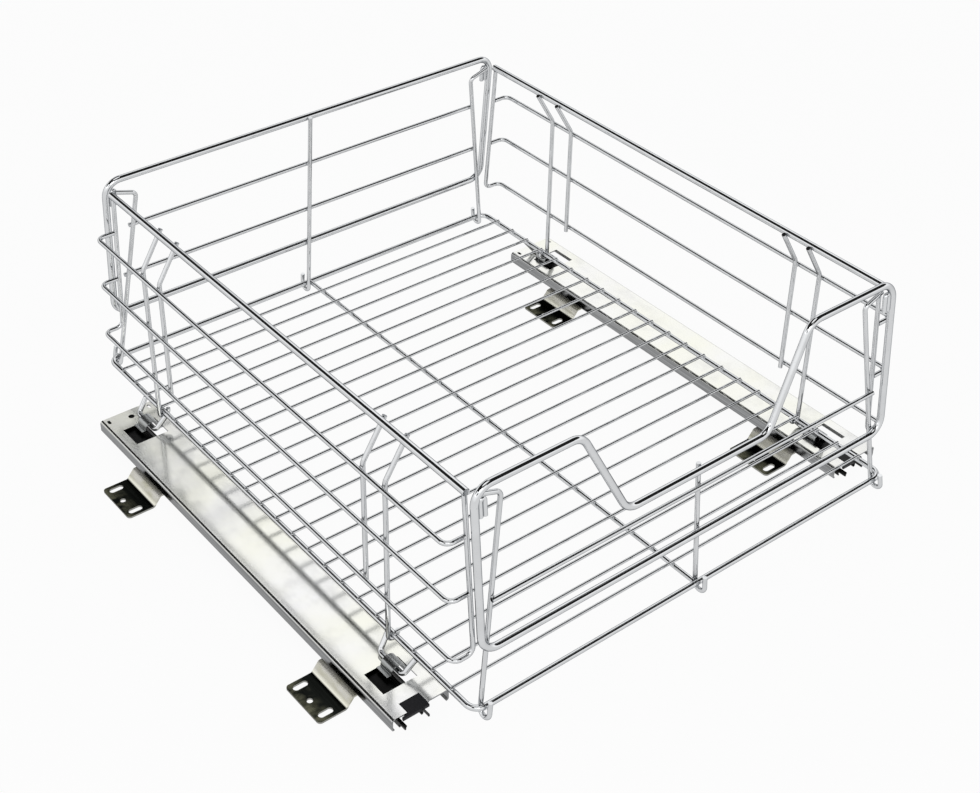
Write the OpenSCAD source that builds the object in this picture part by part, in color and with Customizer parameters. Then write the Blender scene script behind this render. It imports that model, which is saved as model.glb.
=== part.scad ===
/* [Basket] */
// Half distance between the two side wires of the base
base_half_x = 198; // [194:0.5:201]
// Half distance between the front and back wires of the base
base_half_y = 245; // [243:0.5:252]
// Bend radius at the corners of the base wire
base_corner_r = 9; // [6:0.5:12]
// Height of the base wire's centre above the top of the runners
base_lift = 15; // [12:0.5:25]
// Diameter of the base wire
base_wire_d = 4.5; // [3.5:0.1:6]
// Number of thin wires across the base
cross_count = 22; // [12:1:22]
// Distance from one cross wire to the next
cross_pitch = 21.1; // [17:0.1:22]
// Diameter of the thin wires across the base
cross_wire_d = 2.4; // [1.8:0.1:3]
// Diameter of the wire under the middle of the cross wires
centre_wire_d = 3.6; // [2.5:0.1:4]

/* [Panels] */
// Diameter of the heavy wire of the rims
rim_wire_d = 5.5; // [4.5:0.1:7]
// Diameter of the lighter wires in the four panels
panel_wire_d = 3.5; // [2.5:0.1:4]
// Distance of the legs of the front and back loops inside the base wire's sides
loop_inset = 8; // [6:0.5:11]
// Height of the front and back rims above the base wire
loop_top = 172; // [169:0.5:185]
// Height of the lower bar of the front and back loops
loop_low = 45; // [38:0.5:50]
// Lean of the front and back panels towards the inside, in degrees
loop_lean = 5.2; // [0:0.1:8]
// Bend radius at the corners of the loops
loop_r = 13; // [8:1:20]
// Height of the low stretch of the front rim
dip_height = 97; // [90:0.5:112]
// Half width of the low stretch of the front rim
dip_low_half = 66; // [50:1:80]
// Half width of the dip where it meets the high stretch
dip_high_half = 104; // [96:1:120]
// Bend radius in the dip of the front rim
dip_r = 14; // [8:1:16]
// Height of the thin wire across the front panel
front_thin_z = 82; // [66:0.5:86]
// Height of the upper thin wire across the back panel
back_thin_high = 127; // [100:1:150]
// Height of the lower thin wire across the back panel
back_thin_low = 80.5; // [60:0.5:95]
// Distance by which the corner wires lean inwards from the loops' legs at their upper bend
corner_lean = 24; // [18:1:35]
// Height of the upper bend of the corner wires
corner_bend_z = 158; // [145:1:162]

/* [Side panels] */
// Distance of the side rims inside the base wire's sides
side_rim_inset = 9; // [6:0.5:12]
// Height of the side rims above the base wire
side_rim_z = 164; // [158:0.5:168]
// Half length of the side rims
side_rim_len = 222; // [214:0.5:223]
// Height of the top bar in the side panels
bar_high = 130.5; // [118:0.5:136]
// Height of the middle bar in the side panels
bar_mid = 86; // [60:0.5:98]
// Height of the lowest bar in the side panels
bar_low = 37.5; // [30:0.5:46]
// Half length of the bars, to their bends
bar_half_y = 231.5; // [226:0.5:233]
// Bend radius of the side bars and their upright ends
bar_r = 6; // [5:0.5:7.5]
// Distance of the long uprights from the middle
long_upright_y = 155.5; // [145:0.5:160]
// Distance of the short uprights from the middle
short_upright_y = 131; // [90:0.5:137]

/* [Runners] */
// Distance of each runner's centre outside the base wire's side
runner_beside = 15.5; // [13:0.5:18]
// Length of the runners
runner_len = 400; // [380:1:440]
// Distance by which the runners sit in front of the middle
runner_fwd = 7.5; // [0:0.5:12]
// Width of the carrier channel
carrier_w = 47; // [45:0.5:52]
// Height of the carrier channel's flanges
carrier_h = 10.3; // [8:0.1:11]
// Sheet thickness of the carrier channel
carrier_t = 1.2; // [1:0.1:1.5]
// Height of a runner, from the brackets' pads to its top face
runner_h = 12; // [11.5:0.1:14]
// Width of the ball slide inside a runner
slide_w = 27; // [26:0.5:30]
// Distance of the ball slide from the carrier's centre line
slide_off = 7.7; // [6:0.1:7.8]
// Sheet thickness of the ball slide's members
slide_t = 1; // [0.8:0.1:1.2]
// Width left for a row of balls
ball_gap = 2.4; // [2.2:0.1:2.6]
// Running clearance on each side of a ball
ball_clear = 0.08; // [0.05:0.01:0.1]
// Balls in one row
ball_count = 8; // [4:1:12]
// Distance from one ball to the next
ball_pitch = 22; // [12:1:24]
// Distance by which the middle member stands out at the front
middle_out = 7; // [0:0.5:10]

/* [Clips] */
// Distance of the clips from the middle of the basket
clip_y = 167; // [165:0.5:172]
// Width of a clip strap, along the runner
clip_w = 12.4; // [8:0.2:13]
// Thickness of a clip strap
clip_t = 1; // [0.8:0.1:1.2]
// Length of the window under a clip
window_len = 22.5; // [21:0.5:26]
// Width of the window under a clip
window_w = 28; // [26:0.5:30]
// Diameter of the foot wires under the basket
foot_wire_d = 4; // [3:0.1:4.5]
// Half length of a foot wire where it lies on the runner
foot_half_low = 13.5; // [12:0.5:15]
// Half length of a foot wire where it meets the base
foot_half_high = 16; // [14:0.5:20]
// Distance from a runner's centre to its foot wires, towards the basket
foot_in = 5.5; // [4.5:0.5:6.5]
// Radius of the clip's arch over a foot wire
clip_r = 5.5; // [5:0.1:6]
// Height of the clip's arch above the runner
clip_h = 7.2; // [6.5:0.1:9]

/* [Brackets] */
// Width of a bracket, along the runner
bracket_w = 42; // [38:0.5:50]
// Sheet thickness of a bracket
bracket_t = 1.5; // [1.2:0.1:2]
// Height of a bracket, from the floor to its upper pad
bracket_h = 9.5; // [8.5:0.5:14]
// Distance from a runner's centre to the tip of the bracket's foot
bracket_tip = 52.5; // [50.5:0.5:58]
// Distance of the front brackets from the middle
bracket_front_y = 144; // [130:1:150]
// Distance of the back brackets from the middle
bracket_back_y = 117; // [100:1:135]
// Distance between the two slots of a bracket
slot_pitch = 30.6; // [26:0.2:32]
// Width of a slot
slot_w = 5; // [4:0.1:6]
// Length of a slot, end to end
slot_len = 11.5; // [9:0.5:13]
// Diameter of the round hole between the slots
pilot_d = 4.5; // [3:0.1:5.5]
// Distance of the slots from the tip of the foot
slot_inset = 9; // [8:0.5:10]
// Distance of the round hole from the tip of the foot
pilot_inset = 6.5; // [5:0.5:8]
// Distance from a runner's centre to the bend above the bracket's foot
bracket_root = 30.5; // [29:0.5:32]

/* [Hidden] */
// Roundness of wires and of bends
wire_fn = 24;
bend_fn = 48;
// Depth to which welded wires sink into each other
weld = 0.15;
// Depth of a cutter past the sheet that it cuts
past = 1;
// A bead joins each straight to its bend: its extra radius and the gap that it fills
bead = 0.02;
bead_gap = 0.05;
// Half widths of the panels and of the runners, from the base wire's
loop_half_x = base_half_x - loop_inset;
corner_top_half = loop_half_x - corner_lean;
side_rim_half = base_half_x - side_rim_inset;
runner_x = base_half_x + runner_beside;
// The box of the whole part is centred on the origin
centre_x = (bracket_tip - carrier_w / 2) / 2;
// Heights above the floor
runner_z = bracket_h;
top_z = runner_z + runner_h;
base_z = top_z + base_lift;
// Radii of the wires
base_r = base_wire_d / 2;
rim_r = rim_wire_d / 2;
panel_r = panel_wire_d / 2;
cross_r = cross_wire_d / 2;
foot_r = foot_wire_d / 2;
centre_r = centre_wire_d / 2;
// Wires that pass behind the loops and hook round the base wire
panel_in = rim_r + panel_r - weld;
thin_in = panel_in - panel_wire_d + weld;
panel_out = rim_r - base_r;
hook_out = 5.2;
hook_low = 7;
hook_bend = (panel_in + hook_out) / 2 - 0.1;
hook_tip = 6.5;
// Uprights stand outside the base wire, and the bars outside the uprights
side_hook = base_r + panel_r - weld;
side_low = side_hook;
side_bend = side_hook - 0.1;
side_tip = base_r - 0.7;
upright_x = base_half_x + side_hook;
bar_x = upright_x + panel_wire_d - weld;
upright_bend = 8;
kink_up = 4;
past_rim = 3;
// Small closed hooks beside the legs of the loops
latch_x = loop_half_x - rim_r - panel_wire_d + weld;
latch_low = 150;
latch_high = 161.5;
latch_bend = panel_r + 0.05;
// Cross wires lie on the base wire
cross_z = base_z + base_r + cross_r - weld;
// The centre uprights stand beside the centre wire
beside_centre = centre_r + panel_r - weld;

// Ball slides: half widths and heights from the outside in
profile_half = slide_w / 2;
middle_half = profile_half - slide_t - ball_gap;
inner_half = middle_half - slide_t - ball_gap;
profile_low = 2.8;
profile_top = runner_h - carrier_t;
middle_low = 1.9;
middle_top = profile_top - slide_t - 0.5;
fixed_top = middle_top - slide_t - 1.6;
sheet_bend = 1.6;
lip_w = 1.3;
lip_bend = 0.8;
ball_d = ball_gap - 2 * ball_clear;
ball_z = 5.9;
cage_t = 0.7;
cage_h = 3.4;
cage_len = ball_count * ball_pitch;
pocket_d = ball_d - 0.04;
// The fixed member stops short of the carrier's front
fixed_short = 9;
// The web of the middle member stops short of the front, which leaves two prongs
prong_len = 18;
prong_w = 1.6;
// The tips of the prongs are cut away below this height
prong_low = 5.8;

// Carriers
carrier_bend = 1.9;
carrier_lip = 1.3;
carrier_lip_bend = 1.2;
window_shift = -7;
profile_window_more = 4;
end_hole_d = 5;
end_hole_y = 9;
oval_w = 2.5;
oval_len = 5;
oval_x = 18;
oval_y = 5.5;

// Bumpers
notch_left = 11;
notch_right = 5.5;
notch_deep = 9.5;
bumper_out = 3;
bumper_flare = 5.4;
bumper_gap = 0.3;
bumper_seat = 2;
bumper_low = middle_top + 0.4;

// Clips
clip_shift = -2.2;
clip_foot = 4;
clip_tab = 4;
clip_bend = 0.8;
clip_flat = 0.6;
foot_end_x = 0.6 * base_r;
foot_end_z = 0.8 * base_r;

// Brackets and their rivets
foot_corner = 3;
web_step = 6.4;
bracket_bend = 2;
pad_end = slide_off - inner_half - 1;
rivet_d = 3;
rivet_hole_d = 3.1;
rivet_pitch = 24;
rivet_head_d = 5.4;
rivet_head_h = 0.8;

// ---- helpers ----
function unit(v) = v / norm(v);
function turn(u, v) = acos(max(-1, min(1, u * v)));
function pick(r, i) = is_list(r) ? r[i] : r;

// A straight round rod from a to b
module rod(a, b, d) {
  v = b - a;
  translate(a)
    rotate([0, acos(v[2] / norm(v)), atan2(v[1], v[0])])
      cylinder(h = norm(v), d = d, $fn = wire_fn);
}

// A bend of a rod at corner p, coming in along u and leaving along v
module rod_bend(p, u, v, r, d) {
  angle = turn(u, v);
  n = unit(v - (u * v) * u);
  c = p - r * tan(angle / 2) * u + r * n;
  k = cross(-n, u);
  multmatrix([
    [-n[0], u[0], k[0], c[0]],
    [-n[1], u[1], k[1], c[1]],
    [-n[2], u[2], k[2], c[2]]
  ])
    rotate_extrude(angle = angle, $fn = bend_fn)
      translate([r, 0]) circle(d = d, $fn = wire_fn);
}

// A rod between two bends, with a bead at each end that meets a bend
module straight(a, b, d, bead_a, bead_b) {
  v = b - a;
  length = norm(v);
  gap_a = bead_a ? bead_gap : 0;
  gap_b = bead_b ? bead_gap : 0;
  translate(a)
    rotate([0, acos(v[2] / length), atan2(v[1], v[0])]) {
      translate([0, 0, gap_a]) cylinder(h = length - gap_a - gap_b, d = d, $fn = wire_fn);
      if (bead_a) sphere(d = d + 2 * bead, $fn = wire_fn);
      if (bead_b) translate([0, 0, length]) sphere(d = d + 2 * bead, $fn = wire_fn);
    }
}

// A bent wire through the points; r is one bend radius or a list with one for each corner
module wire(pts, d, r) {
  last = len(pts) - 1;
  dirs = [for (i = [0 : last - 1]) unit(pts[i + 1] - pts[i])];
  cut = [for (i = [0 : last])
    (i == 0 || i == last) ? 0 : pick(r, i - 1) * tan(turn(dirs[i - 1], dirs[i]) / 2)];
  for (i = [0 : last - 1])
    straight(pts[i] + cut[i] * dirs[i], pts[i + 1] - cut[i + 1] * dirs[i], d, i > 0, i < last - 1);
  for (i = [1 : 1 : last - 1])
    rod_bend(pts[i], dirs[i - 1], dirs[i], pick(r, i - 1), d);
}

// A closed loop of wire through the points
module wire_loop(pts, d, r) {
  n = len(pts);
  dirs = [for (i = [0 : n - 1]) unit(pts[(i + 1) % n] - pts[i])];
  cut = [for (i = [0 : n - 1])
    pick(r, i) * tan(turn(dirs[(i + n - 1) % n], dirs[i]) / 2)];
  for (i = [0 : n - 1]) {
    straight(pts[i] + cut[i] * dirs[i], pts[(i + 1) % n] - cut[(i + 1) % n] * dirs[i], d, true, true);
    rod_bend(pts[i], dirs[(i + n - 1) % n], dirs[i], pick(r, i), d);
  }
}

// A strip of sheet bent through the points [x, z] of its middle line, w wide along Y
module strip(pts, r, t, w) {
  last = len(pts) - 1;
  dirs = [for (i = [0 : last - 1]) unit(pts[i + 1] - pts[i])];
  cut = [for (i = [0 : last])
    (i == 0 || i == last) ? 0 : pick(r, i - 1) * tan(turn(dirs[i - 1], dirs[i]) / 2)];
  rotate([90, 0, 0]) translate([0, 0, -w / 2]) {
    for (i = [0 : last - 1]) {
      flat = norm(pts[i + 1] - pts[i]) - cut[i] - cut[i + 1];
      gap_a = i > 0 ? bead_gap : 0;
      gap_b = i < last - 1 ? bead_gap : 0;
      translate(concat(pts[i] + cut[i] * dirs[i], 0))
        rotate([0, 0, atan2(dirs[i][1], dirs[i][0])]) {
          translate([gap_a, -t / 2, 0]) cube([flat - gap_a - gap_b, t, w]);
          if (i > 0) cylinder(h = w, d = t + 2 * bead, $fn = wire_fn);
          if (i < last - 1) translate([flat, 0, 0]) cylinder(h = w, d = t + 2 * bead, $fn = wire_fn);
        }
    }
    for (i = [1 : 1 : last - 1]) {
      u = dirs[i - 1];
      v = dirs[i];
      side = sign(u[0] * v[1] - u[1] * v[0]);
      n = side * [-u[1], u[0]];
      c = pts[i] - cut[i] * u + pick(r, i - 1) * n;
      start = atan2(-n[1], -n[0]);
      translate(concat(c, 0))
        rotate([0, 0, side > 0 ? start : start - turn(u, v)])
          rotate_extrude(angle = turn(u, v), $fn = bend_fn)
            translate([pick(r, i - 1) - t / 2, 0]) square([t, w]);
    }
  }
}

// A channel that opens downwards, with plain edges
module plain_channel(w, h, t, r, length) {
  x = (w - t) / 2;
  strip([[-x, 0], [-x, h - t / 2], [x, h - t / 2], [x, 0]], r, t, length);
}

// A channel that opens downwards, with lips turned inwards
module lipped_channel(w, h, t, r, lip, lip_r, length) {
  x = (w - t) / 2;
  strip([[-x + lip, t / 2], [-x, t / 2], [-x, h - t / 2], [x, h - t / 2], [x, t / 2],
         [x - lip, t / 2]], [lip_r, r, r, lip_r], t, length);
}

// A slot along X, through the XY plane
module slot(length, w, h) {
  for (e = [-1, 1])
    translate([e * (length - w) / 2, 0, -h / 2]) cylinder(h = h, d = w, $fn = wire_fn);
  translate([-(length - w) / 2, -w / 2, -h / 2]) cube([length - w, w, h]);
}

// The basket is drawn round its own centre and then moved to the part's centre
module place() {
  translate([centre_x, 0, 0]) children();
}

// On the left or right runner: side is -1 or 1
module at_runner(side) {
  place() translate([side * runner_x, -runner_fwd, runner_z]) children();
}

// On the ball slide of a runner, which stands off its centre line
module at_slide(side) {
  at_runner(side) translate([-slide_off, 0, 0]) children();
}

// A panel leans inwards from the base wire: end is -1 at the front and 1 at the back.
// On it, X runs along the panel, Y to the inside of the basket and Z up the panel.
module on_panel(end) {
  place()
    translate([0, 0, base_z])
      rotate([0, 0, end < 0 ? 0 : 180])
        translate([0, -base_half_y - panel_out, 0])
          rotate([-loop_lean, 0, 0])
            children();
}

// ---- brackets ----
module bracket(side, y) {
  web_top = bracket_h - bracket_t / 2;
  place() translate([side * runner_x, y, 0])
    difference() {
      intersection() {
        strip([[-bracket_tip, bracket_t / 2], [-bracket_root, bracket_t / 2],
               [-bracket_root + web_step, web_top], [-pad_end, web_top]],
              bracket_bend, bracket_t, bracket_w + 2 * past);
        translate([0, 0, -past]) linear_extrude(bracket_h + 2 * past) bracket_plan();
      }
      for (s = [-1, 1])
        translate([-bracket_tip + slot_inset, s * slot_pitch / 2, 0])
          slot(slot_len, slot_w, 2 * (bracket_t + past));
      translate([-bracket_tip + pilot_inset, 0, -past])
        cylinder(h = bracket_t + 2 * past, d = pilot_d, $fn = wire_fn);
      for (s = [-1, 1])
        translate([-slide_off, s * rivet_pitch / 2, 0])
          cylinder(h = bracket_h + past, d = rivet_hole_d, $fn = wire_fn);
    }
}

// Outline of a bracket from above, with rounded corners at the foot
module bracket_plan() {
  inner_w = bracket_w - 2 * foot_corner;
  translate([-bracket_tip + foot_corner, -bracket_w / 2]) square([bracket_tip, bracket_w]);
  translate([-bracket_tip, -inner_w / 2]) square([bracket_tip, inner_w]);
  for (s = [-1, 1])
    translate([-bracket_tip + foot_corner, s * inner_w / 2]) circle(r = foot_corner, $fn = wire_fn);
}

// Rivets through the brackets' pads and the fixed members
module rivet_pair(side, y) {
  place() for (s = [-1, 1])
    translate([side * runner_x - slide_off, y + s * rivet_pitch / 2, bracket_h]) {
      translate([0, 0, -bracket_t - rivet_head_h])
        cylinder(h = rivet_head_h, d = rivet_head_d, $fn = wire_fn);
      translate([0, 0, -bracket_t])
        cylinder(h = bracket_t + slide_t, d = rivet_d, $fn = wire_fn);
      translate([0, 0, slide_t])
        cylinder(h = rivet_head_h, d = rivet_head_d, $fn = wire_fn);
    }
}

module bracket_rivets() color("gainsboro") {
  for (side = [-1, 1]) {
    rivet_pair(side, -bracket_front_y);
    rivet_pair(side, bracket_back_y);
  }
}
module left_front_bracket() color("silver") bracket(-1, -bracket_front_y);
module left_rear_bracket() color("silver") bracket(-1, bracket_back_y);
module right_front_bracket() color("silver") bracket(1, -bracket_front_y);
module right_rear_bracket() color("silver") bracket(1, bracket_back_y);

// ---- ball slides ----
module fixed_member(side) {
  at_slide(side)
    difference() {
      translate([0, fixed_short / 2, fixed_top]) mirror([0, 0, 1])
        plain_channel(2 * inner_half, fixed_top, slide_t, sheet_bend, runner_len - fixed_short);
      for (y = [bracket_back_y, -bracket_front_y], s = [-1, 1])
        translate([0, y + runner_fwd + s * rivet_pitch / 2, -past])
          cylinder(h = slide_t + 2 * past, d = rivet_hole_d, $fn = wire_fn);
    }
}

module middle_member(side) {
  prong_in = middle_half - prong_w;
  at_slide(side) translate([0, -middle_out, 0])
    difference() {
      translate([0, 0, middle_low])
        lipped_channel(2 * middle_half, middle_top - middle_low, slide_t, sheet_bend,
                       lip_w, lip_bend, runner_len);
      translate([-prong_in, -runner_len / 2 - past, 0])
        cube([2 * prong_in, prong_len + past, runner_h]);
      translate([-middle_half - past, -runner_len / 2 - past, 0])
        cube([2 * (middle_half + past), middle_out + past, prong_low]);
    }
}

// The outer profile under a carrier, open at the bumper and under the windows
module slide_profile(side) {
  at_slide(side)
    difference() {
      translate([0, 0, profile_low])
        lipped_channel(slide_w, profile_top - profile_low, slide_t, sheet_bend,
                       lip_w, lip_bend, runner_len);
      translate([-slide_w, -runner_len / 2 - past, 0])
        cube([2 * slide_w, notch_deep + bumper_seat + past, runner_h]);
      translate([slide_off, 0, 0]) windows(profile_window_more, profile_top - 2 * slide_t);
    }
}

// Two strips with a snug pocket for each ball; half is the half width inside the row
module cage(side, half) {
  at_slide(side) for (s = [-1, 1])
    difference() {
      translate([s * (half + ball_gap / 2) - cage_t / 2, -cage_len / 2, ball_z - cage_h / 2])
        cube([cage_t, cage_len, cage_h]);
      for (i = [0 : ball_count - 1])
        translate([s * (half + ball_gap / 2), (i - (ball_count - 1) / 2) * ball_pitch, ball_z])
          rotate([0, 90, 0])
            cylinder(h = 2 * past, d = pocket_d, center = true, $fn = wire_fn);
    }
}
module balls(side, half) {
  at_slide(side) for (s = [-1, 1], i = [0 : ball_count - 1])
    translate([s * (half + ball_gap / 2), (i - (ball_count - 1) / 2) * ball_pitch, ball_z])
      sphere(d = ball_d, $fn = wire_fn);
}

module left_fixed_member() color("lightgray") fixed_member(-1);
module right_fixed_member() color("lightgray") fixed_member(1);
module left_middle_member() color("lightgray") middle_member(-1);
module right_middle_member() color("lightgray") middle_member(1);
module left_slide_profile() color("lightgray") slide_profile(-1);
module right_slide_profile() color("lightgray") slide_profile(1);
module left_inner_cage() color("dimgray") cage(-1, inner_half);
module right_inner_cage() color("dimgray") cage(1, inner_half);
module left_outer_cage() color("dimgray") cage(-1, middle_half);
module right_outer_cage() color("dimgray") cage(1, middle_half);
module left_inner_balls() color("silver") balls(-1, inner_half);
module right_inner_balls() color("silver") balls(1, inner_half);
module left_outer_balls() color("silver") balls(-1, middle_half);
module right_outer_balls() color("silver") balls(1, middle_half);

// ---- carriers: the wide channels that the basket stands on ----
// The windows under the clips, wider by more on each side, from height z upwards
module windows(more, z) {
  w = window_w + 2 * more;
  for (end = [-1, 1])
    translate([-w / 2, end * clip_y + runner_fwd + window_shift - window_len / 2, z])
      cube([w, window_len, runner_h]);
}

module carrier(side) {
  low = runner_h - 2 * carrier_t;
  at_runner(side)
    difference() {
      translate([0, 0, runner_h - carrier_h])
        lipped_channel(carrier_w, carrier_h, carrier_t, carrier_bend,
                       carrier_lip, carrier_lip_bend, runner_len);
      windows(0, low);
      translate([-notch_left, -runner_len / 2 - past, 0])
        cube([notch_left + notch_right, notch_deep + past, runner_h + past]);
      translate([0, runner_len / 2 - end_hole_y, low])
        cylinder(h = carrier_h, d = end_hole_d, $fn = wire_fn);
      for (s = [-1, 1])
        translate([s * oval_x, runner_len / 2 - oval_y, runner_h])
          rotate([0, 0, 90]) slot(oval_len, oval_w, 4 * carrier_t);
    }
}
module left_carrier() color("whitesmoke") carrier(-1);
module right_carrier() color("whitesmoke") carrier(1);

// ---- bumpers: a block in the carrier's notch with a seat under its web ----
module bumper(side) {
  left = -notch_left + bumper_gap;
  right = notch_right - bumper_gap;
  back = notch_deep - bumper_gap;
  at_runner(side) translate([0, -runner_len / 2, bumper_low]) {
    linear_extrude(runner_h - bumper_low)
      polygon([[right, back], [left, back], [left, -bumper_gap],
               [left - bumper_flare, -bumper_out / 2], [left - bumper_flare, -bumper_out],
               [right, -bumper_out]]);
    translate([left - bumper_seat, bumper_gap, 0])
      cube([right - left + 2 * bumper_seat, notch_deep + bumper_seat - 2 * bumper_gap,
            profile_top - bumper_low]);
  }
}
module left_bumper() color("dimgray") bumper(-1);
module right_bumper() color("dimgray") bumper(1);

// ---- clips and foot wires ----
// Straps over the foot wires; each has a tab that hooks under its window's inner edge
module clips(side) {
  in = window_w / 2 + clip_tab;
  high = clip_h - clip_t / 2;
  tab_z = -carrier_t - clip_t / 2;
  place() for (end = [-1, 1])
    translate([side * runner_x, end * clip_y + clip_shift, top_z])
      strip([[-side * in, tab_z], [side * (-foot_in - clip_r), tab_z],
             [side * (-foot_in - clip_r), high], [side * (-foot_in + clip_r), high],
             [side * (-foot_in + clip_r), clip_t / 2],
             [side * (-foot_in + clip_r + clip_foot), clip_t / 2]],
            [clip_bend, clip_r - clip_flat, clip_r - clip_flat, clip_bend], clip_t, clip_w);
}
module left_clips() color("darkgray") clips(-1);
module right_clips() color("darkgray") clips(1);

// Shallow U-shaped wires welded under the base wire
module foot_wires(side) {
  high_x = side * (base_half_x + foot_end_x - weld);
  high_z = base_z - foot_end_z + weld;
  low_x = side * (runner_x - foot_in);
  low_z = top_z + foot_r - weld / 3;
  place() for (end = [-1, 1])
    wire([[high_x, end * clip_y - foot_half_high, high_z],
          [low_x, end * clip_y - foot_half_low, low_z],
          [low_x, end * clip_y + foot_half_low, low_z],
          [high_x, end * clip_y + foot_half_high, high_z]], foot_wire_d, foot_wire_d);
}
module left_foot_wires() color("silver") foot_wires(-1);
module right_foot_wires() color("silver") foot_wires(1);

// ---- base ----
module base_rim() color("silver") place() translate([0, 0, base_z])
  wire_loop([[-base_half_x, -base_half_y, 0], [base_half_x, -base_half_y, 0],
             [base_half_x, base_half_y, 0], [-base_half_x, base_half_y, 0]],
            base_wire_d, base_corner_r);

module base_cross_wires() color("silver") place()
  for (i = [0 : cross_count - 1]) {
    y = (i - (cross_count - 1) / 2) * cross_pitch;
    rod([-base_half_x, y, cross_z], [base_half_x, y, cross_z], cross_wire_d);
  }

module base_centre_wire() color("silver") place() {
  z = cross_z - cross_r - centre_r + weld;
  y = base_half_y - base_r + weld;
  rod([0, -y, z], [0, y, z], centre_wire_d);
}

// ---- side panels ----
module side_rim(side) {
  x = side * side_rim_half;
  z = base_z + side_rim_z;
  place() rod([x, -side_rim_len, z], [x, side_rim_len, z], rim_wire_d);
}

// The ends of the frame stop under the side rim, this far from the middle
frame_top_y = side_rim_len - panel_r - 0.25;
frame_top_z = side_rim_z - rim_r + weld;
// The frame's ends lean; this is their distance from the middle at a height
function lean_y(z) = bar_half_y
  + (frame_top_y - bar_half_y) * (z - bar_low) / (frame_top_z - bar_low);

// The lowest bar turns inwards at each end and rises to the rim
module side_frame(side) {
  in_x = side * side_rim_half;
  out_x = side * bar_x;
  z = base_z + bar_low;
  top = base_z + frame_top_z;
  place() wire([[in_x, -frame_top_y, top], [in_x, -bar_half_y, z], [out_x, -bar_half_y, z],
                [out_x, bar_half_y, z], [in_x, bar_half_y, z], [in_x, frame_top_y, top]],
               panel_wire_d, bar_r);
}

// The two upper bars end on the upright ends of the frame
module side_bars(side) {
  end_x = side * (side_rim_half + panel_r - weld);
  out_x = side * bar_x;
  place() for (z = [bar_high, bar_mid]) {
    y = lean_y(z);
    wire([[end_x, -y, base_z + z], [out_x, -y, base_z + z],
          [out_x, y, base_z + z], [end_x, y, base_z + z]], panel_wire_d, bar_r);
  }
}

// Uprights lean in above the top bar, pass inside the rim and end just above it
kink = [upright_x, base_z + bar_high + kink_up];
to_rim = [side_rim_half, base_z + side_rim_z] - kink;
rim_touch = rim_r + panel_r - weld;
lean_angle = atan2(to_rim[1], to_rim[0]) + asin(rim_touch / norm(to_rim));
lean_len = sqrt(to_rim * to_rim - rim_touch * rim_touch) + past_rim;
tip = kink + lean_len * [cos(lean_angle), sin(lean_angle)];

// Long uprights hook round the base wire from outside and end inside it
module long_uprights(side) {
  low = base_z - side_low;
  in_x = base_half_x - side_hook;
  place() for (end = [-1, 1]) {
    y = end * long_upright_y;
    wire([[side * tip[0], y, tip[1]], [side * kink[0], y, kink[1]], [side * upright_x, y, low],
          [side * in_x, y, low], [side * in_x, y, base_z + side_tip]],
         panel_wire_d, [upright_bend, side_bend, side_bend]);
  }
}

// Short uprights end just under the lowest bar
module short_uprights(side) {
  low = base_z + bar_low - panel_wire_d;
  place() for (end = [-1, 1]) {
    y = end * short_upright_y;
    wire([[side * tip[0], y, tip[1]], [side * kink[0], y, kink[1]], [side * upright_x, y, low]],
         panel_wire_d, upright_bend);
  }
}

module left_side_rim() color("silver") side_rim(-1);
module right_side_rim() color("silver") side_rim(1);
module left_side_frame() color("silver") side_frame(-1);
module right_side_frame() color("silver") side_frame(1);
module left_side_bars() color("silver") side_bars(-1);
module right_side_bars() color("silver") side_bars(1);
module left_long_uprights() color("silver") long_uprights(-1);
module right_long_uprights() color("silver") long_uprights(1);
module left_short_uprights() color("silver") short_uprights(-1);
module right_short_uprights() color("silver") short_uprights(1);

// ---- front and back panels ----
module front_loop() color("silver") on_panel(-1)
  wire_loop([[-loop_half_x, 0, loop_low], [loop_half_x, 0, loop_low],
             [loop_half_x, 0, loop_top], [dip_high_half, 0, loop_top],
             [dip_low_half, 0, dip_height], [-dip_low_half, 0, dip_height],
             [-dip_high_half, 0, loop_top], [-loop_half_x, 0, loop_top]],
            rim_wire_d, [loop_r, loop_r, loop_r, dip_r, dip_r, dip_r, dip_r, loop_r]);

module back_loop() color("silver") on_panel(1)
  wire_loop([[-loop_half_x, 0, loop_low], [loop_half_x, 0, loop_low],
             [loop_half_x, 0, loop_top], [-loop_half_x, 0, loop_top]], rim_wire_d, loop_r);

// Half width between the corner wires at a height
function corner_half(z) = loop_half_x - corner_lean * z / corner_bend_z;

// A thin wire that runs from one corner wire to the other, on their outer side
module thin_wire(end, z) {
  x = corner_half(z) + panel_r;
  on_panel(end) rod([-x, thin_in, z], [x, thin_in, z], panel_wire_d);
}
module front_thin_wire() color("silver") thin_wire(-1, front_thin_z);
module back_thin_wires() color("silver") {
  thin_wire(1, back_thin_high);
  thin_wire(1, back_thin_low);
}

// Points of a hook at x: down inside the base wire, under it and up outside
function base_hook(x) = [
  [x, panel_in, -hook_low], [x, -hook_out, -hook_low], [x, -hook_out, hook_tip]
];

module centre_upright(end, top) {
  on_panel(end)
    wire(concat([[beside_centre, panel_in, top]], base_hook(beside_centre)),
         panel_wire_d, hook_bend);
}
module front_centre_upright() color("silver") centre_upright(-1, dip_height + rim_r);
module back_centre_upright() color("silver") centre_upright(1, loop_top + rim_r / 2);

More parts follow.
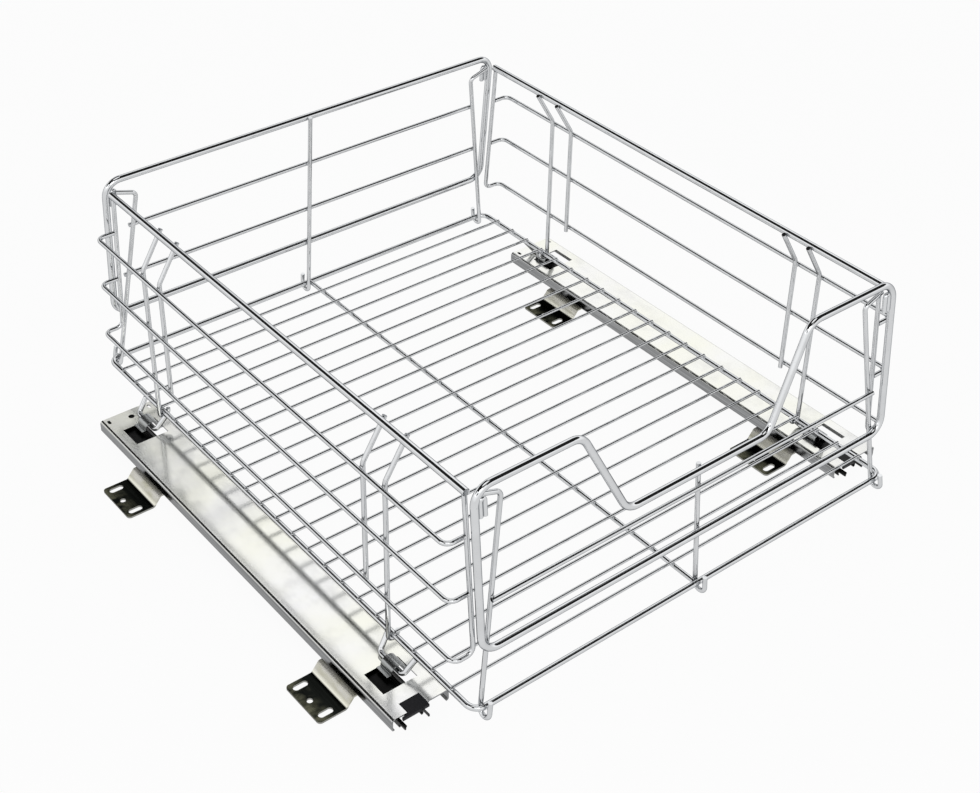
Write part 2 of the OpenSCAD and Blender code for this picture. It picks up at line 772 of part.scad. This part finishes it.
// Corner wires: from the loop's upper corner inwards, then down to a hook on the base wire
module corner_wires(end) {
  start_x = loop_half_x - rim_r - panel_wire_d;
  on_panel(end) for (s = [-1, 1]) {
    low_x = s * corner_half(-hook_low);
    wire([[s * start_x, panel_in, corner_bend_z + 6],
          [s * corner_top_half, panel_in, corner_bend_z],
          [low_x, panel_in, -hook_low], [low_x, -hook_out, -hook_low],
          [s * corner_half(hook_tip), -hook_out, hook_tip]],
         panel_wire_d, hook_bend);
  }
}
module front_corner_wires() color("silver") corner_wires(-1);
module back_corner_wires() color("silver") corner_wires(1);

// Small closed hooks beside the legs of a loop
module latch_loops(end) {
  on_panel(end) for (s = [-1, 1]) translate([s * latch_x, 0, 0]) {
    for (e = [-1, 1])
      translate([e * latch_bend, 0, latch_low])
        cylinder(h = latch_high - latch_low, d = panel_wire_d, $fn = wire_fn);
    translate([0, 0, latch_high]) rotate([90, 0, 0])
      rotate_extrude(angle = 180, $fn = bend_fn)
        translate([latch_bend, 0]) circle(d = panel_wire_d, $fn = wire_fn);
  }
}
module front_latch_loops() color("silver") latch_loops(-1);
module back_latch_loops() color("silver") latch_loops(1);

left_front_bracket();
left_rear_bracket();
right_front_bracket();
right_rear_bracket();
bracket_rivets();
left_fixed_member();
right_fixed_member();
left_middle_member();
right_middle_member();
left_inner_cage();
left_inner_balls();
right_inner_cage();
right_inner_balls();
left_outer_cage();
left_outer_balls();
right_outer_cage();
right_outer_balls();
left_slide_profile();
right_slide_profile();
left_carrier();
right_carrier();
left_bumper();
right_bumper();
left_clips();
right_clips();
left_foot_wires();
right_foot_wires();
base_rim();
base_cross_wires();
base_centre_wire();
left_side_rim();
left_side_frame();
left_side_bars();
left_long_uprights();
left_short_uprights();
right_side_rim();
right_side_frame();
right_side_bars();
right_long_uprights();
right_short_uprights();
front_loop();
front_thin_wire();
front_centre_upright();
front_corner_wires();
front_latch_loops();
back_loop();
back_thin_wires();
back_centre_upright();
back_corner_wires();
back_latch_loops();
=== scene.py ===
"""Looks for the pull-out basket: finishes, weld spots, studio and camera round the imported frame."""
import math
import random

import bmesh
import bpy
import numpy as np
from mathutils import Matrix, Vector


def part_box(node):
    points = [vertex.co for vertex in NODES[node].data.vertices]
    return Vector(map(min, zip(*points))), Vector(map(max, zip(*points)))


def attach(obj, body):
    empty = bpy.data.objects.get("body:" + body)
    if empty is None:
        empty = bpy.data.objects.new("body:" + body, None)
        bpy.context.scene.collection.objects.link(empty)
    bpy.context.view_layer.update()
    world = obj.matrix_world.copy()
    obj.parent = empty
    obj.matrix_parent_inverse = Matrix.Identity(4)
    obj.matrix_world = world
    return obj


MM = 0.001

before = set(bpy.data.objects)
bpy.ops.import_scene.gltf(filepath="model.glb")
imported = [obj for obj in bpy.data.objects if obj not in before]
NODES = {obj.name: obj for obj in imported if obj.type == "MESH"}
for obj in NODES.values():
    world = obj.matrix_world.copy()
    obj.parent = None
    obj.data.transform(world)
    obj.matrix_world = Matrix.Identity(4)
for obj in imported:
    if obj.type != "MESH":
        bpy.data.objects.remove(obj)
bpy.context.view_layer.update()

# ---- camera, solved from the photograph's straight edges ----
IMAGE_W, IMAGE_H = 980, 793
CAMERA_AT = Vector((-653.4, -825.0, 848.65)) * MM
CAMERA_AZIMUTH, CAMERA_ELEVATION, CAMERA_ROLL = (math.radians(a) for a in (-38.77, 34.53, 0.95))
FOCAL_PX = 1671.7
CENTRE_PX = (476.0, 329.95)
SENSOR_MM = 36

# ---- studio ----
WHITE = (1, 1, 1)
FLOOR_HALF = 6.0
FLOOR_DROP = 0.1 * MM
# Share of the floor's own white that cameras and mirrors see; the rest takes the shadow
FLOOR_GLOW = 0.94
# Light from the walls at the horizon and higher up, reached at WALL_TO, and from the dark ceiling
HORIZON_LEVEL = 1.0
WALL_LEVEL = 1.35
WALL_TO = 0.35
CEILING_LEVEL = 0.02
# The ceiling begins at this height of the direction; a soft panel lights its back right part
CEILING_FROM, CEILING_TO = 0.44, 0.50
PANEL_X = (0.235, 0.30)
PANEL_Y = (0.36, 0.44)
PANEL_Y_END = (0.80, 0.70)
# The ceiling is lit again straight overhead, so flat sheet looks pale from above too
OVERHEAD = (0.945, 0.965)
# Lamps: name, place in metres, width in metres, watts; all aim at the middle of the basket
LAMPS = (
    ("key", (-1.2, -1.6, 1.8), 1.2, 8),
    ("fill", (-0.5, -2.0, 1.6), 1.4, 5),
    ("side", (-2.0, -0.2, 1.5), 1.2, 5),
)
LAMP_AIM = Vector((0, 0, 0.1))
LAMP_SHAPE = 0.7


def set_camera():
    az, el = CAMERA_AZIMUTH, CAMERA_ELEVATION
    back = Vector((math.sin(az) * math.cos(el), -math.cos(az) * math.cos(el), math.sin(el)))
    level_right = Vector((math.cos(az), math.sin(az), 0))
    level_up = back.cross(level_right)
    right = level_right * math.cos(CAMERA_ROLL) + level_up * math.sin(CAMERA_ROLL)
    up = back.cross(right)
    data = bpy.data.cameras.new("camera")
    data.sensor_fit = "HORIZONTAL"
    data.sensor_width = SENSOR_MM
    data.lens = FOCAL_PX * SENSOR_MM / IMAGE_W
    data.shift_x = (IMAGE_W / 2 - CENTRE_PX[0]) / IMAGE_W
    data.shift_y = (CENTRE_PX[1] - IMAGE_H / 2) / IMAGE_W
    data.clip_start, data.clip_end = 0.01, 50
    camera = bpy.data.objects.new("camera", data)
    bpy.context.scene.collection.objects.link(camera)
    axes = Matrix((right, up, back)).transposed()
    camera.matrix_world = Matrix.Translation(CAMERA_AT) @ axes.to_4x4()
    bpy.context.scene.camera = camera


# ---- node helpers ----
class Graph:
    """A short way to build a node tree."""

    def __init__(self, tree):
        self.tree = tree
        tree.nodes.clear()

    def add(self, kind, inputs=None, **settings):
        node = self.tree.nodes.new(kind)
        for key, value in settings.items():
            setattr(node, key, value)
        for key, value in (inputs or {}).items():
            self.feed(node, key, value)
        return node

    def feed(self, node, key, value):
        if isinstance(value, bpy.types.NodeSocket):
            self.tree.links.new(value, node.inputs[key])
        else:
            node.inputs[key].default_value = value

    def place(self, scale):
        """Object coordinates, stretched: scale is repeats per metre along each axis."""
        coord = self.add("ShaderNodeTexCoord")
        return self.add("ShaderNodeMapping", {"Vector": coord.outputs["Object"], "Scale": scale}).outputs[0]

    def noise(self, scale, detail=3.0, rough=0.5):
        inputs = {"Vector": self.place(scale), "Scale": 1.0, "Detail": detail, "Roughness": rough}
        return self.add("ShaderNodeTexNoise", inputs).outputs["Fac"]

    def span(self, value, low, high, start=0.3, stop=0.7):
        """Maps value from start..stop to low..high."""
        inputs = {"Value": value, "From Min": start, "From Max": stop, "To Min": low, "To Max": high}
        return self.add("ShaderNodeMapRange", inputs).outputs[0]

    def mix(self, factor, a, b, blend="MIX"):
        node = self.add("ShaderNodeMix", {0: factor, 6: a, 7: b}, data_type="RGBA", blend_type=blend)
        return node.outputs[2]

    def math(self, operation, a, b):
        return self.add("ShaderNodeMath", {0: a, 1: b}, operation=operation).outputs[0]

    def split(self, vector):
        """The X, Y and Z of a vector."""
        return self.add("ShaderNodeSeparateXYZ", {"Vector": vector}).outputs

    def upward(self):
        """How far the surface faces up, 1 for straight up."""
        return self.split(self.add("ShaderNodeNewGeometry").outputs["Normal"])[2]

    def bump(self, height, strength, distance):
        inputs = {"Height": height, "Strength": strength, "Distance": distance}
        return self.add("ShaderNodeBump", inputs).outputs[0]

    def finish(self, shader, kind="ShaderNodeOutputMaterial"):
        self.tree.links.new(shader.outputs[0], self.add(kind).inputs["Surface"])


def rgb(r, g, b):
    return (r, g, b, 1.0)


def new_material(name):
    material = bpy.data.materials.new(name)
    material.use_nodes = True
    return material, Graph(material.node_tree)


def chrome(name, color, rough_low, rough_high, stain):
    """Bright plating over drawn wire: soft ripple, faint clouding and a few dull specks."""
    material, g = new_material(name)
    cloud = g.noise((60, 60, 60), 4)
    ripple = g.noise((220, 220, 220), 2)
    specks = g.span(g.noise((900, 900, 900), 1), 0.0, 1.0, 0.68, 0.74)
    tint = g.mix(g.span(cloud, 0.0, 1.0), rgb(*color), rgb(*(c * stain for c in color)))
    spotted = g.mix(g.math("MULTIPLY", specks, 0.35), tint, rgb(*(c * 0.6 for c in color)))
    rough = g.math("ADD", g.span(cloud, rough_low, rough_high), g.math("MULTIPLY", specks, 0.1))
    g.finish(g.add("ShaderNodeBsdfPrincipled", {
        "Base Color": spotted, "Metallic": 1.0, "Roughness": rough,
        "Specular Tint": rgb(0.25, 0.26, 0.28), "Normal": g.bump(ripple, 0.05, 0.0002)}))
    return material


def rolled_zinc(name, color, second, rough_low, rough_high, spangle=0.15):
    """Zinc on rolled sheet: streaks along the sheet, pale crystals and fine scuffs."""
    material, g = new_material(name)
    streaks = g.noise((700, 9, 700), 4, 0.6)
    cloud = g.noise((26, 18, 26), 3)
    crystal_place = g.place((240, 240, 240))
    crystals = g.add("ShaderNodeTexVoronoi", {"Vector": crystal_place, "Scale": 1.0}).outputs["Color"]
    crystal_grey = g.add("ShaderNodeRGBToBW", {"Color": crystals}).outputs[0]
    scuffs = g.span(g.noise((90, 1400, 300), 2), 0.0, 1.0, 0.66, 0.72)
    tint = g.mix(g.span(cloud, 0.0, 1.0), rgb(*color), rgb(*second))
    tint = g.mix(g.math("MULTIPLY", crystal_grey, spangle), tint, rgb(*(c * 0.82 for c in color)))
    rough = g.math("ADD", g.span(streaks, rough_low, rough_high), g.math("MULTIPLY", scuffs, 0.08))
    g.finish(g.add("ShaderNodeBsdfPrincipled", {
        "Base Color": tint, "Metallic": 1.0, "Roughness": rough,
        "Normal": g.bump(streaks, 0.1, 0.0001)}))
    return material


def carrier_zinc(name, lit_top, second, shaded_flange):
    """Pale zinc, smooth enough to mirror the wires softly; the tops are painted paler as light and the
    flanges greyer as shade, and the flanges are streaked.
    """
    material, g = new_material(name)
    streaks = g.noise((700, 7, 700), 4, 0.6)
    broad = g.noise((14, 22, 14), 3, 0.55)
    clouds = g.noise((60, 45, 60), 4, 0.6)
    # Painted light and shade: faces that look up take the pale top colour, the flanges and undersides a
    # darker grey.
    painted_light_mask = g.span(g.upward(), 0.0, 1.0, 0.35, 0.9)
    pale = g.mix(g.span(broad, 0.0, 1.0), rgb(*lit_top), rgb(*second))
    pale = g.mix(g.span(clouds, 0.0, 0.3, 0.5, 0.75), pale, rgb(*(c * 0.72 for c in lit_top)))
    streaked_painted_shade = g.mix(g.span(streaks, 0.0, 1.0, 0.35, 0.65), rgb(*shaded_flange), rgb(*(c * 0.62 for c in shaded_flange)))
    g.finish(g.add("ShaderNodeBsdfPrincipled", {
        "Base Color": g.mix(painted_light_mask, streaked_painted_shade, pale), "Metallic": 1.0,
        "Roughness": g.span(clouds, 0.12, 0.2), "Specular Tint": rgb(0.7, 0.7, 0.7),
        "Normal": g.bump(streaks, 0.04, 0.0001)}))
    return material


def bracket_zinc(name):
    """Nearly black foot with olive patches towards its tip, a painted highlight on the bend, a khaki web
    and painted glints on the foot's edges; a dull pad.
    """
    material, g = new_material(name)
    coord = g.add("ShaderNodeTexCoord")
    height = g.split(coord.outputs["Object"])[2]
    along = g.split(coord.outputs["Generated"])[0]
    patches = g.span(g.noise((55, 80, 55), 3, 0.6), 0.0, 1.0, 0.42, 0.60)
    clouds = g.span(g.noise((110, 60, 160), 3), 0.0, 1.0, 0.4, 0.65)
    streaks = g.noise((900, 40, 900), 3)
    raised = g.span(height, 0.0, 1.0, 1.7 * MM, 2.6 * MM)
    near_tip = g.span(along, 1.0, 0.0, 0.02, 0.26)
    foot = g.mix(g.math("MULTIPLY", patches, near_tip), rgb(0.008, 0.009, 0.008), rgb(0.11, 0.11, 0.075))
    web = g.mix(clouds, rgb(0.50, 0.49, 0.45), rgb(0.40, 0.39, 0.31))
    # Painted highlight: the lower web just above the foot, along the bend, is made paler.
    bend = g.span(height, 1.0, 0.0, 2.8 * MM, 4.8 * MM)
    web = g.mix(bend, web, rgb(0.74, 0.73, 0.64))
    pad = g.span(height, 0.0, 1.0, 7.6 * MM, 8.6 * MM)
    # Painted highlight: faces of the foot that do not look up are made lighter grey.
    painted_edge_glint = g.span(g.upward(), 1.0, 0.0, 0.25, 0.6)
    foot_with_painted_glint = g.mix(painted_edge_glint, foot, rgb(0.28, 0.28, 0.26))
    g.finish(g.add("ShaderNodeBsdfPrincipled", {
        "Base Color": g.mix(raised, foot_with_painted_glint, web), "Metallic": g.span(pad, 1.0, 0.35, 0.0, 1.0),
        "Roughness": g.span(streaks, 0.12, 0.26), "Specular Tint": rgb(0.4, 0.4, 0.4),
        "Normal": g.bump(streaks, 0.06, 0.0001)}))
    return material


def moulded(name, color, rough_low, rough_high):
    """Moulded plastic with a fine grain and a few flow marks."""
    material, g = new_material(name)
    grain = g.noise((2600, 2600, 2600), 2)
    flow = g.noise((120, 60, 160), 3)
    tint = g.mix(g.span(flow, 0.0, 1.0), rgb(*color), rgb(*(c * 1.5 for c in color)))
    g.finish(g.add("ShaderNodeBsdfPrincipled", {
        "Base Color": tint, "Roughness": g.span(flow, rough_low, rough_high),
        "Specular IOR Level": 0.16, "Normal": g.bump(grain, 0.15, 0.00006)}))
    return material


WIRE = chrome("chrome_wire", (0.64, 0.65, 0.66), 0.02, 0.06, 0.9)
RIM = chrome("chrome_rim", (0.66, 0.67, 0.68), 0.02, 0.05, 0.92)
# The carrier's first colour is painted light on the tops, its last colour painted shade on the flanges.
WHITE_ZINC = carrier_zinc("white_zinc", (0.72, 0.72, 0.72), (0.72, 0.72, 0.65), (0.32, 0.325, 0.33))
# Painted shade: the slide members are made near black to stand for the shade inside the carrier; their
# plating itself is pale zinc.
SLIDE_ZINC_PAINTED_SHADE = rolled_zinc("slide_zinc", (0.007, 0.007, 0.007), (0.014, 0.014, 0.014), 0.25, 0.4)
CLIP_STEEL = rolled_zinc("clip_steel", (0.30, 0.31, 0.31), (0.40, 0.41, 0.41), 0.2, 0.34)
RIVET_STEEL = rolled_zinc("rivet_steel", (0.40, 0.40, 0.39), (0.46, 0.46, 0.44), 0.28, 0.42)
DARK_ZINC = bracket_zinc("dark_zinc")
BUMPER = moulded("bumper_plastic", (0.006, 0.006, 0.008), 0.3, 0.45)
CAGE = moulded("cage_plastic", (0.03, 0.03, 0.03), 0.4, 0.55)
BALL = chrome("ball_steel", (0.60, 0.60, 0.60), 0.03, 0.06, 0.95)

FINISH_BY_WORD = [
    ("bracket_rivets", RIVET_STEEL, "rivet_steel"),
    ("bracket", DARK_ZINC, "dark_zinc"),
    ("member", SLIDE_ZINC_PAINTED_SHADE, "slide_zinc"),
    ("slide_profile", SLIDE_ZINC_PAINTED_SHADE, "slide_zinc"),
    ("cage", CAGE, "cage_plastic"),
    ("balls", BALL, "ball_steel"),
    ("carrier", WHITE_ZINC, "white_zinc"),
    ("bumper", BUMPER, "bumper_plastic"),
    ("clips", CLIP_STEEL, "clip_steel"),
    ("side_rim", RIM, "chrome_rim"),
    ("loop", RIM, "chrome_rim"),
    ("", WIRE, "chrome_wire"),
]


def dress_cad():
    for name, obj in NODES.items():
        material = next(m for word, m, _ in FINISH_BY_WORD if word in name)
        obj.data.materials.clear()
        obj.data.materials.append(material)
        for polygon in obj.data.polygons:
            polygon.use_smooth = True
            polygon.material_index = 0


# ---- weld spots ----
def loose_parts(node):
    """Lowest and highest corners of each separate solid of a node, in metres."""
    mesh = NODES[node].data
    points = np.array([v.co for v in mesh.vertices])
    _, same = np.unique(np.round(points / (0.01 * MM)).astype(int), axis=0, return_inverse=True)
    same = same.ravel()
    parent = list(range(same.max() + 1))

    def root(i):
        while parent[i] != i:
            parent[i] = parent[parent[i]]
            i = parent[i]
        return i

    for polygon in mesh.polygons:
        corners = [same[v] for v in polygon.vertices]
        for other in corners[1:]:
            parent[root(other)] = root(corners[0])
    group = np.array([root(i) for i in same])
    return [(points[group == g].min(0), points[group == g].max(0)) for g in np.unique(group)]


def weld_spots(name, spots, material):
    """One mesh of small flattened lumps; a spot is (centre, half sizes)."""
    chance = random.Random(7)
    mesh = bmesh.new()
    for centre, half in spots:
        lump = bmesh.ops.create_icosphere(mesh, subdivisions=2, radius=1.0)["verts"]
        spread = [h * chance.uniform(0.88, 1.12) for h in half]
        for vert in lump:
            swell = 1 + 0.06 * math.sin(5 * vert.co.x + 3 * vert.co.y + centre[1] * 900)
            vert.co = Vector(c * s * swell for c, s in zip(vert.co, spread)) + Vector(centre)
    data = bpy.data.meshes.new(name)
    mesh.to_mesh(data)
    mesh.free()
    for polygon in data.polygons:
        polygon.use_smooth = True
    data.materials.append(material)
    piece = bpy.data.objects.new(name, data)
    bpy.context.scene.collection.objects.link(piece)
    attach(piece, "basket")
    return piece


def make_welds():
    cross = loose_parts("base_cross_wires")
    rim_low, rim_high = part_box("base_rim")
    centre_low, centre_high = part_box("base_centre_wire")
    wire_r = (rim_high.z - rim_low.z) / 2
    centre_x = (centre_low.x + centre_high.x) / 2
    spots = []
    for low, high in cross:
        y = (low[1] + high[1]) / 2
        cross_r = (high[2] - low[2]) / 2
        size = (1.25 * cross_r, 1.3 * cross_r, 0.55 * cross_r)
        touch_z = low[2] + 0.1 * cross_r
        for x in (rim_low.x + wire_r, rim_high.x - wire_r, centre_x):
            spots.append(((x, y, touch_z), size))
    weld_spots("base_weld_spots", spots, WIRE)

    # Where the side bars cross the uprights
    for side, sign in (("left", -1), ("right", 1)):
        spots = []
        uprights = loose_parts(side + "_long_uprights") + loose_parts(side + "_short_uprights")
        bars = loose_parts(side + "_side_bars")
        frame_low, frame_high = loose_parts(side + "_side_frame")[0]
        r = (bars[0][1][2] - bars[0][0][2]) / 2
        levels = [(low[2] + high[2]) / 2 for low, high in bars] + [frame_low[2] + r]
        touch_x = (bars[0][1][0] if sign > 0 else bars[0][0][0]) - sign * 2 * r
        for low, high in uprights:
            y = (low[1] + high[1]) / 2
            for z in levels:
                spots.append(((touch_x, y, z), (0.5 * r, 1.15 * r, 1.15 * r)))
        weld_spots(side + "_weld_spots", spots, WIRE)

    # Where the thin wires cross the corner wires and the centre uprights
    for node, end in (("front_thin_wire", -1), ("back_thin_wires", 1)):
        spots = []
        upright_low, upright_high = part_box(node.split("_")[0] + "_centre_upright")
        for low, high in loose_parts(node):
            r = (high[2] - low[2]) / 2
            y, z = (low[1] + high[1]) / 2 - end * 0.9 * r, (low[2] + high[2]) / 2
            for x in (low[0] + r, high[0] - r, (upright_low.x + upright_high.x) / 2):
                spots.append(((x, y, z), (1.1 * r, 0.5 * r, 1.1 * r)))
        weld_spots(node + "_welds", spots, WIRE)


# ---- studio ----
def make_studio():
    world = bpy.data.worlds.new("studio")
    bpy.context.scene.world = world
    world.use_nodes = True
    g = Graph(world.node_tree)
    toward = g.split(g.add("ShaderNodeTexCoord").outputs["Generated"])
    wall = g.span(toward[2], HORIZON_LEVEL, WALL_LEVEL, 0.0, WALL_TO)
    ceiling = g.span(toward[2], 0.0, 1.0, CEILING_FROM, CEILING_TO)
    panel = g.math("MULTIPLY", g.span(toward[0], 0.0, 1.0, *PANEL_X),
                   g.math("MULTIPLY", g.span(toward[1], 0.0, 1.0, *PANEL_Y),
                          g.span(toward[1], 0.0, 1.0, *PANEL_Y_END)))
    lit = g.math("MAXIMUM", panel, g.span(toward[2], 0.0, 1.0, *OVERHEAD))
    dark = g.math("MULTIPLY", ceiling, g.math("SUBTRACT", 1.0, lit))
    level = g.math("ADD", g.math("MULTIPLY", wall, g.math("SUBTRACT", 1.0, dark)),
                   g.math("MULTIPLY", dark, CEILING_LEVEL))
    sky = g.add("ShaderNodeBackground", {"Color": rgb(*WHITE), "Strength": level})
    g.finish(sky, "ShaderNodeOutputWorld")

    mesh = bpy.data.meshes.new("floor")
    h = FLOOR_HALF
    mesh.from_pydata([(-h, -h, 0), (h, -h, 0), (h, h, 0), (-h, h, 0)], [], [(0, 1, 2, 3)])
    floor = bpy.data.objects.new("floor", mesh)
    bpy.context.scene.collection.objects.link(floor)
    floor.location.z = -FLOOR_DROP
    material, g = new_material("floor")
    path = g.add("ShaderNodeLightPath")
    seen = g.math("MAXIMUM", path.outputs["Is Camera Ray"],
                  g.math("MAXIMUM", path.outputs["Is Glossy Ray"], path.outputs["Is Transmission Ray"]))
    paper = g.add("ShaderNodeBsdfPrincipled", {
        "Base Color": rgb(0.9, 0.9, 0.9), "Roughness": 0.9,
        "Normal": g.bump(g.noise((300, 300, 300), 2), 0.05, 0.0002)})
    glow = g.add("ShaderNodeEmission", {"Color": rgb(*WHITE), "Strength": 1.0})
    both = g.add("ShaderNodeMixShader", {0: g.math("MULTIPLY", seen, FLOOR_GLOW),
                                         1: paper.outputs[0], 2: glow.outputs[0]})
    g.finish(both)
    mesh.materials.append(material)

    for name, place, size, power in LAMPS:
        lamp = bpy.data.lights.new(name, "AREA")
        lamp.shape = "RECTANGLE"
        lamp.size, lamp.size_y = size, size * LAMP_SHAPE
        lamp.energy = power
        light = bpy.data.objects.new(name, lamp)
        bpy.context.scene.collection.objects.link(light)
        light.location = place
        aim = LAMP_AIM - Vector(place)
        light.rotation_mode = "QUATERNION"
        light.rotation_quaternion = aim.to_track_quat("-Z", "Y")


bpy.context.scene.view_settings.view_transform = "Standard"
set_camera()
dress_cad()
make_welds()
make_studio()
